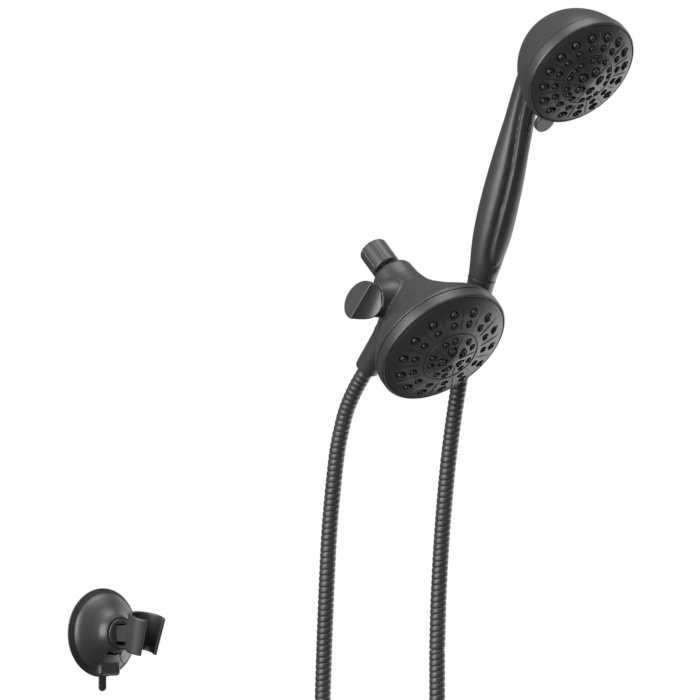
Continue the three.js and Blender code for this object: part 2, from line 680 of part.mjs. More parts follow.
addInlet();
addBallJoint();
addHousing();
addDiverter();
addFace(FIXED_FACE, headFaceFrame);
add('dock', dock(), black, headFrame);
add('dock_screw', dockScrew(), steel, headFrame);
addHose();
addHandset();
addFace(HAND_FACE_UNIT, handFaceFrame);
addBracket();

export default part;
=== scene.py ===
"""Looks of the shower set: fixed spray head, docked handset, hose loop and suction bracket.

Shapes are worked out in millimetres, in the local frames of the CAD part, and placed in metres.
"""

import json
import math

import bmesh
import bpy
import numpy as np
from mathutils import Matrix, Vector


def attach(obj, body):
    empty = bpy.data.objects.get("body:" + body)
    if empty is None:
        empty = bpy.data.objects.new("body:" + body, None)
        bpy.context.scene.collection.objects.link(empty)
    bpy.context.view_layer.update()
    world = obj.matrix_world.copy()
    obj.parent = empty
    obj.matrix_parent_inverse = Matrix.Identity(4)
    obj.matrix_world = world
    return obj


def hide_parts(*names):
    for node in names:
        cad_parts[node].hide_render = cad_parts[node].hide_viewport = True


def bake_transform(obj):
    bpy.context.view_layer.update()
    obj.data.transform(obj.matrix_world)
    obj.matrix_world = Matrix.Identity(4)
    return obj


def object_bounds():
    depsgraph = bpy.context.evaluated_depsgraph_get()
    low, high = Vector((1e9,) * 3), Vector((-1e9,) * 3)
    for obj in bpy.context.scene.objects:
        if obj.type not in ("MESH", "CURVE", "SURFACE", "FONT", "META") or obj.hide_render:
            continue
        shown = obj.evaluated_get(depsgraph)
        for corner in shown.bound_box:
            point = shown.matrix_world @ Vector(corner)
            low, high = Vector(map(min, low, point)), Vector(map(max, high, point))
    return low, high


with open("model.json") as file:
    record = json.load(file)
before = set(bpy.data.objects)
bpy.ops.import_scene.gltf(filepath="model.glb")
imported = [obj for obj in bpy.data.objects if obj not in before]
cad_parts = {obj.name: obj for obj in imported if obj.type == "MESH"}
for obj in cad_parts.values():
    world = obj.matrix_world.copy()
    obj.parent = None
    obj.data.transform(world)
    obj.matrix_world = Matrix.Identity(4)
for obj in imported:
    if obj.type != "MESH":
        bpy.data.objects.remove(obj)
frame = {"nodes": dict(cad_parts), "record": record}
cad_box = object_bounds()

MM = 0.001

# ---- sizes and places of the CAD part, in millimetres --------------------

HEAD_LEAN = 131
HEAD_LENGTH = 131.3
BALL_Z = 42
BALL_R = 11
THREAD_R = 10.48
THREAD_PITCH = 1.814
NIPPLE_R = 9.6
COLLAR_R = 13.3
COLLAR_LENGTH = 26
COLLAR_GROOVES = 6
COLLAR_PHASE = 57
MOUTH_Z = 34.3
KNOB_Z = 66.6
KNOB_START = 43.6
KNOB_END = 58.5
KNOB_SLANT = 22.8
KNOB_ROLL = 23.5
OUTLET_Z = 64
NUT_START = 45.8
NUT_END = 87
HANDLE_LEAN = 20
SEAM = (62, -79, -24)
CONE_LENGTH = 48
HAND_FACE = (0, -66, 221)
HAND_FACE_LEAN = 105.5
HOSE_DIAMETER = 14
HOSE_RIB_PITCH = 5.3
HOSE_RIB_HEIGHT = 0.7
HOSE_GROOVE_R = HOSE_DIAMETER / 2 - 0.45
GROOVE_SHARPNESS = 0.38
CUP = (-209.5, 130, -343.7)
CUP_R = 40
LEVER_PIN_Z = 14
TILT_PIN_Z = 24
CLIP_Z = 59.5
CLIP_LEAN = 15
CLIP_GAP = 84
CLIP_GAP_AT = -85
PIN_TRAVEL = 1.6
LEVER_INNER_R = 19.6

LOWER_ROUTE = [
    (0, 9.7, -108.8), (0, 25.3, -127), (0, 37, -145), (0, 44.2, -163), (0, 49.6, -181),
    (0, 56, -217), (0, 61, -254), (0, 65.2, -307.7), (0, 68.4, -361), (0, 71, -420),
    (0, 73.6, -500), (0, 75.6, -600), (-0.1, 76, -691.1), (4.1, 69.7, -719.5),
    (15.6, 52.3, -740.2), (31.4, 28.7, -747.8), (47.2, 5.1, -740.2), (58.7, -12.3, -719.5),
    (62.9, -18.6, -691.1), (62.7, -18, -600), (62.3, -16.8, -500), (62.1, -16.1, -420),
    (62, -16, -361.4),
]
UPPER_ROUTE = [
    (62, -16, -361), (62, -18.4, -307.7), (62, -23.6, -250), (62, -31.5, -192),
    (62, -37.6, -160), (62, -44.4, -130), (62, -52, -102), (62, -61.9, -71.1),
]


def turn(axis, degrees):
    return np.array(Matrix.Rotation(math.radians(degrees), 4, Vector(axis)))


def shift(x, y, z):
    return np.array(Matrix.Translation((x, y, z)))


head_frame = turn((1, 0, 0), HEAD_LEAN)
head_face_frame = head_frame @ shift(0, 0, HEAD_LENGTH)
handle_frame = shift(*SEAM) @ turn((1, 0, 0), HANDLE_LEAN)
to_hand_face = shift(*HAND_FACE) @ turn((1, 0, 0), HAND_FACE_LEAN)
hand_face_frame = handle_frame @ to_hand_face
bracket_frame = shift(*CUP) @ turn((1, 0, 0), 90)
sideways = turn((0, 1, 0), -90)
downward = turn((1, 0, 0), 90)
across = turn((0, 1, 0), 90)
outlet_axis = shift(0, 0, OUTLET_Z) @ downward
outlet_frame = head_frame @ outlet_axis
knob_axis = shift(0, 0, KNOB_Z) @ sideways
knob_frame = head_frame @ knob_axis
lever_pin_axis = shift(0, 0, LEVER_PIN_Z) @ across
tilt_pin_axis = shift(0, 0, TILT_PIN_Z) @ across

# ---- camera --------------------------------------------------------------

AIM = Vector((-0.0174, 0.0115, -0.0904))
CAMERA_DISTANCE = 30.0
LENS = 1715


def add_camera(azimuth=-40, elevation=1.5):
    """A long lens, so that the picture is as good as parallel and 0.63 m wide at the object."""
    a = math.radians(azimuth)
    e = math.radians(elevation)
    back = Vector((math.sin(a) * math.cos(e), -math.cos(a) * math.cos(e), math.sin(e)))
    data = bpy.data.cameras.new("camera")
    data.lens = LENS
    data.sensor_width = 36
    data.clip_end = 100
    camera = bpy.data.objects.new("camera", data)
    camera.location = AIM + back * CAMERA_DISTANCE
    camera.rotation_euler = back.to_track_quat("Z", "Y").to_euler()
    bpy.context.scene.collection.objects.link(camera)
    bpy.context.scene.camera = camera


add_camera()

# ---- materials -----------------------------------------------------------


def surface_material(name, colour, roughness, metallic=0.0, specular=0.5, mottle=0.08, grain=0.2,
                     grain_size=0.5, coat=0.0, sheen=0.0):
    """Paint, plastic, rubber or metal: mottled colour and gloss, and a fine grain."""
    material = bpy.data.materials.new(name)
    material.use_nodes = True
    nodes = material.node_tree.nodes
    links = material.node_tree.links
    shader = nodes["Principled BSDF"]
    shader.inputs["Metallic"].default_value = metallic
    shader.inputs["Specular IOR Level"].default_value = specular
    shader.inputs["Coat Weight"].default_value = coat
    shader.inputs["Coat Roughness"].default_value = 0.3
    shader.inputs["Sheen Weight"].default_value = sheen
    place = nodes.new("ShaderNodeTexCoord")

    patches = nodes.new("ShaderNodeTexNoise")
    patches.inputs["Scale"].default_value = 60
    patches.inputs["Detail"].default_value = 5
    patches.inputs["Roughness"].default_value = 0.62
    links.new(place.outputs["Object"], patches.inputs["Vector"])

    colours = nodes.new("ShaderNodeValToRGB")
    colours.color_ramp.elements[0].position = 0.3
    colours.color_ramp.elements[1].position = 0.7
    colours.color_ramp.elements[0].color = [c * (1 - mottle) for c in colour] + [1]
    colours.color_ramp.elements[1].color = [c * (1 + mottle) for c in colour] + [1]
    links.new(patches.outputs["Fac"], colours.inputs["Fac"])
    links.new(colours.outputs["Color"], shader.inputs["Base Color"])

    gloss_range = nodes.new("ShaderNodeMapRange")
    gloss_range.inputs["To Min"].default_value = roughness - 0.045
    gloss_range.inputs["To Max"].default_value = roughness + 0.045
    links.new(patches.outputs["Fac"], gloss_range.inputs["Value"])
    links.new(gloss_range.outputs["Result"], shader.inputs["Roughness"])

    fine = nodes.new("ShaderNodeTexNoise")
    fine.inputs["Scale"].default_value = 1 / (grain_size * MM)
    fine.inputs["Detail"].default_value = 2
    links.new(place.outputs["Object"], fine.inputs["Vector"])
    bump = nodes.new("ShaderNodeBump")
    bump.inputs["Strength"].default_value = grain
    bump.inputs["Distance"].default_value = 0.03 * MM
    links.new(fine.outputs["Fac"], bump.inputs["Height"])
    links.new(bump.outputs["Normal"], shader.inputs["Normal"])
    return material


def brushed(material, pitch=0.754, strength=0.25):
    """Adds turning marks, rings of slightly different height along the object's Z, to a metal."""
    waves_per_unit = 20 / (2 * math.pi)
    nodes = material.node_tree.nodes
    links = material.node_tree.links
    place = nodes.new("ShaderNodeTexCoord")
    rings = nodes.new("ShaderNodeTexWave")
    rings.bands_direction = "Z"
    rings.inputs["Scale"].default_value = 1 / (pitch * MM * waves_per_unit)
    rings.inputs["Distortion"].default_value = 1.5
    links.new(place.outputs["Object"], rings.inputs["Vector"])
    marks = nodes.new("ShaderNodeBump")
    marks.inputs["Strength"].default_value = strength
    marks.inputs["Distance"].default_value = 0.02 * MM
    links.new(rings.outputs["Fac"], marks.inputs["Height"])
    grain = nodes["Bump"]
    links.new(marks.outputs["Normal"], grain.inputs["Normal"])
    return material


MATERIALS = {
    "black_finish": surface_material("satin_black", (0.03, 0.03, 0.0305), 0.4, specular=0.6),
    "knob_black": surface_material("smooth_black", (0.03, 0.03, 0.0305), 0.36, specular=0.6,
                                   grain=0.15),
    "face_plastic": surface_material("face_black", (0.026, 0.026, 0.0265), 0.42, grain=0.2),
    "black_rubber": surface_material("black_rubber", (0.016, 0.016, 0.016), 0.44, grain=0.5,
                                     grain_size=0.25, sheen=0.04),
    "hose_black": surface_material("coated_hose", (0.032, 0.032, 0.0325), 0.42, specular=0.65,
                                   grain=0.25, grain_size=0.3),
    "brass": brushed(surface_material("brass", (0.69, 0.5, 0.22), 0.3, metallic=1, mottle=0.06)),
    "steel": brushed(surface_material("steel", (0.55, 0.55, 0.57), 0.3, metallic=1, mottle=0.05)),
    "white_plastic": surface_material("white_plastic", (0.78, 0.78, 0.74), 0.45, mottle=0.03),
    "grey_plastic": surface_material("grey_plastic", (0.22, 0.22, 0.225), 0.5, mottle=0.06),
}


def finish_cad_nodes():
    """Every CAD node takes its slot's material; most are inside, or are replaced further down."""
    for part in frame["record"]["subparts"]:
        for slot in frame["nodes"][part["node"]].material_slots:
            slot.link = "OBJECT"
            slot.material = MATERIALS[part["material_slot"]]


finish_cad_nodes()

# ---- solids: (points, faces) in millimetres ------------------------------


def outward(points, faces):
    """Turns the faces over if the solid is inside out."""
    volume = 0.0
    for face in faces:
        first = points[face[0]]
        for b, c in zip(face[1:-1], face[2:]):
            volume += np.dot(first, np.cross(points[b], points[c]))
    if volume < 0:
        faces = [face[::-1] for face in faces]
    return points, faces


def softened(outline, radius, closed=True, steps=4):
    """The outline with its corners rounded to a radius, as far as its sides are long enough."""
    points = [np.array(p, float) for p in outline]
    result = []
    count = len(points)
    for i, corner in enumerate(points):
        if not closed and i in (0, count - 1):
            result.append(corner)
            continue
        before = points[i - 1] - corner
        after = points[(i + 1) % count] - corner
        room_before = np.linalg.norm(before)
        room_after = np.linalg.norm(after)
        before = before / room_before
        after = after / room_after
        half = math.acos(max(-1.0, min(1.0, float(before @ after)))) / 2
        if half > math.radians(84):
            result.append(corner)
            continue
        reach = min(radius / math.tan(half), 0.45 * room_before, 0.45 * room_after)
        for k in range(steps + 1):
            t = k / steps
            start = corner + before * reach
            end = corner + after * reach
            result.append((1 - t) ** 2 * start + 2 * t * (1 - t) * corner + t ** 2 * end)
    return np.array(result)


def curve_through(points, spacing):
    """A centripetal Catmull-Rom curve through the points, sampled at about equal steps."""
    points = np.array(points, float)
    ends = [2 * points[0] - points[1], 2 * points[-1] - points[-2]]
    padded = np.vstack([ends[0], points, ends[1]])
    fine = []
    t = np.linspace(0, 1, 40, endpoint=False)[:, None]
    for p0, p1, p2, p3 in zip(padded, padded[1:], padded[2:], padded[3:]):
        gaps = [np.linalg.norm(b - a) ** 0.5 for a, b in ((p0, p1), (p1, p2), (p2, p3))]
        start = (p1 - p0) / gaps[0] - (p2 - p0) / (gaps[0] + gaps[1]) + (p2 - p1) / gaps[1]
        end = (p2 - p1) / gaps[1] - (p3 - p1) / (gaps[1] + gaps[2]) + (p3 - p2) / gaps[2]
        start = start * gaps[1]
        end = end * gaps[1]
        fine.append(p1 + start * t + (3 * (p2 - p1) - 2 * start - end) * t ** 2
                    + (2 * (p1 - p2) + start + end) * t ** 3)
    fine = np.vstack(fine + [points[-1:]])
    along = np.concatenate([[0], np.cumsum(np.linalg.norm(np.diff(fine, axis=0), axis=1))])
    steps = max(2, round(along[-1] / spacing))
    wanted = np.linspace(0, along[-1], steps + 1)
    return np.stack([np.interp(wanted, along, column) for column in fine.T], axis=1)


def lathe(outline, segments=96):
    """Turns an outline of [radius, height] about Z, closed on itself unless it ends on the axis."""
    outline = np.array(outline, float)
    closed = outline[0][0] > 1e-6 or outline[-1][0] > 1e-6
    angles = np.arange(segments) * 2 * math.pi / segments
    points = []
    rows = []
    for radius, height in outline:
        start = len(points)
        if radius < 1e-6:
            points.append((0, 0, height))
            rows.append([start] * segments)
            continue
        for angle in angles:
            points.append((radius * math.cos(angle), radius * math.sin(angle), height))
        rows.append(list(range(start, start + segments)))
    if closed:
        rows.append(rows[0])
    faces = []
    for low, high in zip(rows, rows[1:]):
        for i in range(segments):
            j = (i + 1) % segments
            corners = [low[i], low[j], high[j], high[i]]
            face = [c for k, c in enumerate(corners) if c != corners[k - 1]]
            if len(face) >= 3:
                faces.append(face)
    return outward(np.array(points, float), faces)


def stacked_rings(rows, width):
    """Faces of a closed solid whose points are rows of rings, from one end to the other."""
    faces = [list(range(width)), [(rows - 1) * width + i for i in range(width)][::-1]]
    for row in range(rows - 1):
        for i in range(width):
            j = (i + 1) % width
            faces.append([row * width + j, row * width + i, (row + 1) * width + i,
                          (row + 1) * width + j])
    return faces


def tube(inner, outer, low, high, segments=48, edge=0.2):
    if inner == 0:
        outline = softened([(0, low), (outer, low), (outer, high), (0, high)], edge, closed=False)
        return lathe(outline, segments)
    outline = softened([(inner, low), (outer, low), (outer, high), (inner, high)], edge)
    return lathe(outline, segments)


def moved(solid, *places):
    points, faces = solid
    for place in reversed(places):
        points = points @ place[:3, :3].T + place[:3, 3]
    return points, faces


def joined(*solids):
    points = []
    faces = []
    for own_points, own_faces in solids:
        offset = sum(len(p) for p in points)
        points.append(own_points)
        faces += [[index + offset for index in face] for face in own_faces]
    return np.vstack(points), faces


def to_object(name, solid):
    mesh = bpy.data.meshes.new(name)
    mesh.from_pydata(solid[0].tolist(), [], solid[1])
    mesh.update()
    obj = bpy.data.objects.new(name, mesh)
    bpy.context.scene.collection.objects.link(obj)
    return obj


def discard(obj):
    mesh = obj.data
    bpy.data.objects.remove(obj)
    bpy.data.meshes.remove(mesh)


def combined(solid, other, operation):
    """DIFFERENCE or UNION of two solids."""
    target = to_object("boolean_target", solid)
    tool = to_object("boolean_tool", other)
    modifier = target.modifiers.new("boolean", "BOOLEAN")
    modifier.object = tool
    modifier.operation = operation
    modifier.solver = "EXACT"
    result = target.evaluated_get(bpy.context.evaluated_depsgraph_get()).to_mesh()
    points = np.array([v.co[:] for v in result.vertices])
    faces = [list(p.vertices) for p in result.polygons]
    discard(target)
    discard(tool)
    return points, faces


# ---- shapes given by a distance, for pieces with soft fillets ------------


def outline_distance(outline, u, v):
    """Distance from the outline, negative inside. Sides along u = 0 don't count."""
    outline = np.array(outline, float)
    nearest = np.full(len(u), 1e9)
    inside = np.zeros(len(u), bool)
    for a, b in zip(outline, np.roll(outline, -1, axis=0)):
        if a[1] != b[1]:
            crosses = (a[1] > v) != (b[1] > v)
            inside ^= crosses & (u < (b[0] - a[0]) * (v - a[1]) / (b[1] - a[1]) + a[0])
        if a[0] < 1e-6 and b[0] < 1e-6:
            continue
        side = b - a
        t = np.clip(((u - a[0]) * side[0] + (v - a[1]) * side[1]) / (side @ side), 0, 1)
        gap = (u - a[0] - t * side[0]) ** 2 + (v - a[1] - t * side[1]) ** 2
        np.minimum(nearest, gap, out=nearest)
    return np.where(inside, -1, 1) * np.sqrt(nearest)


def into(*places):
    """A function that takes points into the axes of the last of those frames."""
    back = np.linalg.inv(np.linalg.multi_dot([np.eye(4), np.eye(4), *places]))
    return lambda points: points @ back[:3, :3].T + back[:3, 3]


def turned_about(outline, *places):
    """The distance from a turned outline placed by those frames."""
    local = into(*places)

    def distance(points):
        x, y, z = local(points).T
        return outline_distance(outline, np.hypot(x, y), z)
    return distance


def rod(radius, low, high, *places):
    return turned_about([(0, low), (radius, low), (radius, high), (0, high)], *places)


def block(low, high, round_edge=0.0, *places):
    local = into(*places)
    middle = (np.array(low) + np.array(high)) / 2
    half = (np.array(high) - np.array(low)) / 2 - round_edge

    def distance(points):
        away = np.abs(local(points) - middle) - half
        outer = np.linalg.norm(np.maximum(away, 0), axis=1)
        return outer + np.minimum(away.max(axis=1), 0) - round_edge
    return distance


def union(first, second, fillet=0.01):
    def distance(points):
        a = first(points)
        b = second(points)
        mix = np.clip(0.5 + 0.5 * (b - a) / fillet, 0, 1)
        return b * (1 - mix) + a * mix - fillet * mix * (1 - mix)
    return distance


def minus(first, second, fillet=0.3):
    opposite = union(lambda points: -first(points), second, fillet)
    return lambda points: -opposite(points)


def surface_of(distance, low, high, pitch):
    """The closed quad mesh where the distance is zero, inside the box from low to high."""
    block_cells = 8
    low = np.array(low, float)
    blocks = np.ceil((np.array(high) - low) / (pitch * block_cells)).astype(int)
    cells = blocks * block_cells
    centres = np.stack(np.meshgrid(*[np.arange(n) for n in blocks], indexing="ij"), -1)
    centres = low + (centres.reshape(-1, 3) + 0.5) * pitch * block_cells
    coarse = distance(centres).reshape(blocks)
    for axis in range(3):
        coarse = np.repeat(coarse, block_cells, axis=axis)
    near = np.abs(coarse) < 0.95 * pitch * block_cells
    values = coarse.copy()
    indices = np.argwhere(near)
    values[near] = distance(low + indices * pitch)

    inside = values < 0
    count = np.zeros(cells - 1, int)
    for dx, dy, dz in np.ndindex(2, 2, 2):
        count += inside[dx:cells[0] - 1 + dx, dy:cells[1] - 1 + dy, dz:cells[2] - 1 + dz]
    mixed = (count > 0) & (count < 8)
    number = np.full(mixed.shape, -1)
    number[mixed] = np.arange(mixed.sum())
    middles = low + (np.argwhere(mixed) + 0.5) * pitch
    points = middles.copy()
    step = 0.02
    for _ in range(5):
        value = distance(points)
        slope = np.stack([distance(points + step * unit) - value for unit in np.eye(3)], 1) / step
        size = np.maximum((slope ** 2).sum(axis=1), 0.2)
        points = points - (value / size)[:, None] * slope
        points = np.clip(points, middles - 0.75 * pitch, middles + 0.75 * pitch)

    faces = []
    for axis in range(3):
        edges = np.argwhere(np.diff(inside, axis=axis))
        one, two = [a for a in range(3) if a != axis]
        keep = (edges[:, one] > 0) & (edges[:, two] > 0)
        keep &= (edges[:, one] < cells[one] - 1) & (edges[:, two] < cells[two] - 1)
        edges = edges[keep]
        ring = []
        for back_one, back_two in ((0, 0), (1, 0), (1, 1), (0, 1)):
            cell = edges.copy()
            cell[:, one] -= back_one
            cell[:, two] -= back_two
            ring.append(number[tuple(cell.T)])
        quads = np.stack(ring, 1)
        flip = inside[tuple(edges.T)] == (axis == 1)
        quads[flip] = quads[flip][:, ::-1]
        faces += quads.tolist()
    return points, faces


# ---- making and placing a piece ------------------------------------------

SHOWER = "shower_body"
HANDSET = "handset"
WALL = "wall_side"
NODE_SLOT = {part["node"]: part["material_slot"] for part in frame["record"]["subparts"]}


def add_piece(node, solid, place, body, sharp=38):
    """A detailed piece that stands for one CAD node and takes its slot and its body."""
    points, faces = moved(solid, place)
    obj = to_object("shown_" + node, (points * MM, faces))
    mesh = obj.data
    mesh.polygons.foreach_set("use_smooth", [True] * len(mesh.polygons))
    mesh.set_sharp_from_angle(angle=math.radians(sharp))
    mesh.materials.append(MATERIALS[NODE_SLOT[node]])
    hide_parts(node)
    if body:
        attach(obj, body)
    return obj


# ---- hose: a coated metal strip wound in a spiral ------------------------


def spiral_tube(route, sides=28, rings=8):
    """A tube that bulges between the turns of a helical groove, on a grid that follows them."""
    line = curve_through(route, 1.0)
    length = np.linalg.norm(np.diff(line, axis=0), axis=1).sum()
    tangent = np.gradient(line, axis=0)
    tangent /= np.linalg.norm(tangent, axis=1)[:, None]
    normals = [np.cross(tangent[0], (0, 0, 1.0))]
    for direction in tangent[1:]:
        carried = normals[-1] - direction * (normals[-1] @ direction)
        normals.append(carried / np.linalg.norm(carried))
    normals[0] /= np.linalg.norm(normals[0])
    normals = np.array(normals)
    binormals = np.cross(tangent, normals)
    at = np.linspace(0, length, len(line))
    turns = math.ceil(length / HOSE_RIB_PITCH) + 1
    rows = np.arange(-rings, turns * rings + 1)
    columns = np.arange(sides + 1)
    along = (rows[:, None] / rings + columns[None] / sides) * HOSE_RIB_PITCH
    phase = np.broadcast_to(np.mod(rows[:, None] / rings, 1), along.shape)
    clipped = np.clip(along, 0, length)
    bulge = np.sin(math.pi * phase) ** GROOVE_SHARPNESS
    fade = np.clip(np.minimum(clipped, length - clipped) / 1.5, 0, 1)
    radius = HOSE_GROOVE_R + HOSE_RIB_HEIGHT * bulge * fade
    angle = np.broadcast_to(columns[None] * 2 * math.pi / sides, along.shape)
    spots = clipped.ravel()
    centre, u, v = [np.stack([np.interp(spots, at, column) for column in vectors.T], 1)
                    for vectors in (line, normals, binormals)]
    reach = radius.ravel()[:, None]
    angle = angle.ravel()[:, None]
    points = centre + reach * (u * np.cos(angle) + v * np.sin(angle))
    width = sides + 1
    faces = []
    for row in range(len(rows) - 1):
        for column in range(sides):
            a = row * width + column
            faces.append([a, a + 1, a + width + 1, a + width])
    return (points, faces), line, length


def closed_tube(solid):
    """Welds the grid's seam, drops what its clipped ends squashed flat, and caps it."""
    grid = to_object("hose_grid", solid)
    work = bmesh.new()
    work.from_mesh(grid.data)
    bmesh.ops.remove_doubles(work, verts=work.verts, dist=1e-4)
    bmesh.ops.dissolve_degenerate(work, edges=work.edges, dist=1e-4)
    bmesh.ops.holes_fill(work, edges=[e for e in work.edges if e.is_boundary], sides=200)
    bmesh.ops.recalc_face_normals(work, faces=work.faces)
    points = np.array([v.co[:] for v in work.verts])
    work.verts.index_update()
    faces = [[v.index for v in f.verts] for f in work.faces]
    work.free()
    discard(grid)
    return points, faces


def add_hose():
    """Two stretches: the loop hangs from the head, and the short one follows the handset."""
    solid, line, length = spiral_tube(LOWER_ROUTE)
    loop = add_piece("hose_lower", closed_tube(solid), np.eye(4), None, sharp=60)
    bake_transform(loop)

    solid, line, length = spiral_tube(UPPER_ROUTE)
    upper = add_piece("hose_upper", closed_tube(solid), np.eye(4), None, sharp=60)
    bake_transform(upper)


add_hose()

# ---- inlet collar and ball joint -----------------------------------------


def threaded(outline, segments, inner, depth, from_z, to_z):
    """Cuts a helical thread into the wall of that radius between two heights."""
    points, faces = lathe(outline, segments)
    radius = np.hypot(points[:, 0], points[:, 1])
    on_wall = (np.abs(radius - inner) < 0.02) & (points[:, 2] > from_z) & (points[:, 2] < to_z)
    angle = np.arctan2(points[:, 1], points[:, 0])
    wave = np.sin(2 * math.pi * points[:, 2] / THREAD_PITCH - angle)
    scale = np.where(on_wall, 1 + depth * wave / np.maximum(radius, 1), 1)
    points[:, :2] *= scale[:, None]
    return points, faces


def inlet_collar():
    """Flutes are pressed into the outside, and the open end has the pipe thread."""
    wall = [(THREAD_R, z) for z in np.arange(15.9, 0.9, -0.25)]
    outside = [(COLLAR_R, z) for z in (1.6, 2.0, *np.linspace(2.4, 24, 60), 24.6)]
    rim = [(THREAD_R + 0.5, 0.15), (THREAD_R + 0.9, 0), (12.5, 0), (12.9, 0.15), (13.2, 0.7)]
    end = [(13.15, 25.4), (12.8, 25.85), (12.4, COLLAR_LENGTH), (8, COLLAR_LENGTH), (8, 16.2)]
    outline = wall + rim + outside + end
    points, faces = threaded(outline, 192, THREAD_R, 0.4, 1.6, 15.2)
    angle = np.degrees(np.arctan2(points[:, 1], points[:, 0])) - COLLAR_PHASE
    spacing = 360 / COLLAR_GROOVES
    off = (np.mod(angle + spacing / 2, spacing) - spacing / 2) * math.radians(1) * COLLAR_R
    beyond = np.maximum(np.abs(points[:, 2] - 12.2) - 10.4, 0)
    gap = np.hypot(off, beyond)
    radius = np.hypot(points[:, 0], points[:, 1])
    depth = np.where(radius > COLLAR_R - 0.05, 0.62 * np.clip(1.25 - (gap / 0.8) ** 2, 0, 1), 0)
    points[:, :2] *= (1 - depth / np.maximum(radius, 1))[:, None]
    return points, faces


def ball_stem():
    start = math.pi - math.asin(6.5 / BALL_R)
    end = math.asin(4.2 / BALL_R)
    outline = [(4.2, 15.5), (6.3, 15.5), (6.3, 11.9), (10, 11.9), (10, 15.9), (6.5, 15.9)]
    for angle in np.linspace(start, end, 28):
        outline.append((BALL_R * math.sin(angle), BALL_Z + BALL_R * math.cos(angle)))
    return lathe(outline, 72)


def add_inlet():
    add_piece("inlet_collar", inlet_collar(), head_frame, WALL)
    add_piece("ball_stem", ball_stem(), head_frame, WALL)
    retainer = softened([
        (12.5, 31.5), (14.6, 31.5), (15.4, 32.3), (15.4, 46), (13.2, 46), (13.2, 40.4),
        (11.35, 40), (10.5, 37),
    ], 0.3)
    add_piece("ball_retainer", lathe(retainer, 96), head_frame, SHOWER)


add_inlet()

# ---- fixed head ----------------------------------------------------------

TRUMPET = [
    (17.6, 34.3), (19.0, 34.9), (19.9, 37), (20.4, 44), (21.0, 50), (22.4, 56), (25.4, 65.5),
    (30.2, 74), (36, 82), (43.2, 91.5), (50.5, 99.8), (57.6, 108), (61.2, 113.4), (62.7, 117.5),
    (63.0, 120.2),
]


def housing():
    """A trumpet with two bosses, blended into each other, hollow where the parts inside go."""
    boss_end = KNOB_START - 0.4
    body = turned_about([(0, MOUTH_Z), *TRUMPET, (0, HEAD_LENGTH - 11.1)])
    boss = turned_about([(0, 0), (18.8, 0), (18.6, 23), (17.9, 26.5), (16.9, 30.5), (16.1, 35),
                         (15.7, 39), (15.6, boss_end - 0.4), (15.2, boss_end), (0, boss_end)],
                        knob_axis)
    outlet = turned_about([(0, 0), (14.5, 0), (14.5, 26), (12.2, 40), (12.2, 45.2),
                           (11.9, 45.5), (0, 45.5)], outlet_axis)
    body = union(union(body, boss, 1.6), outlet, 5)
    hollows = [
        rod(15.8, 30, 54.4),
        turned_about([(0, 80), (24, 80), (40, 96.5), (52, 109), (56.2, HEAD_LENGTH - 15.2),
                      (60.6, HEAD_LENGTH - 15.2), (60.6, HEAD_LENGTH + 9), (0, HEAD_LENGTH + 9)]),
        rod(5, 50, 84),
        rod(9, -14, KNOB_START + 1, knob_axis),
        rod(8.7, 26, 50, outlet_axis),
        rod(5, 0, 30, outlet_axis),
    ]
    for hollow in hollows:
        body = minus(body, hollow, 0.2)
    return surface_of(body, (-66, -66, 30), (66, 66, 124), 0.9)


add_piece("housing", housing(), head_frame, SHOWER, sharp=50)


def diverter_knob():
    """A flared round knob with a slanted end and a thumb scoop across half of it."""
    flare = [(15.3, KNOB_START + 0.4), (16.6, 46.5), (17.3, 50.5), (17.4, 58), (17.2, 68)]
    side = curve_through(flare, 0.8)
    body = turned_about([(0, KNOB_START), (14.9, KNOB_START), *side, (0, 68)])
    end = shift(0, 0, KNOB_END) @ turn((1, 0, 0), -KNOB_SLANT)
    body = minus(body, block((-30, -40, 0), (30, 40, 30), 0.0, end), 1.1)
    scoop = rod(21, -40, 40, shift(22.5, 0, 63.9) @ turn((1, 0, 0), 90 - KNOB_SLANT / 2))
    body = minus(body, scoop, 0.6)
    body = minus(body, rod(4.3, KNOB_START - 2, KNOB_START + 3), 0.2)
    body = minus(body, rod(1.9, KNOB_START, KNOB_START + 8.4), 0.1)
    return surface_of(body, (-20, -20, KNOB_START - 2), (20, 20, KNOB_END + 10), 0.45)


add_piece("diverter_knob", diverter_knob(), knob_frame @ turn((0, 0, 1), KNOB_ROLL), "diverter",
          sharp=50)

# ---- spray faces ---------------------------------------------------------

LOBES = 5
LOBE_STEP = 360 / LOBES

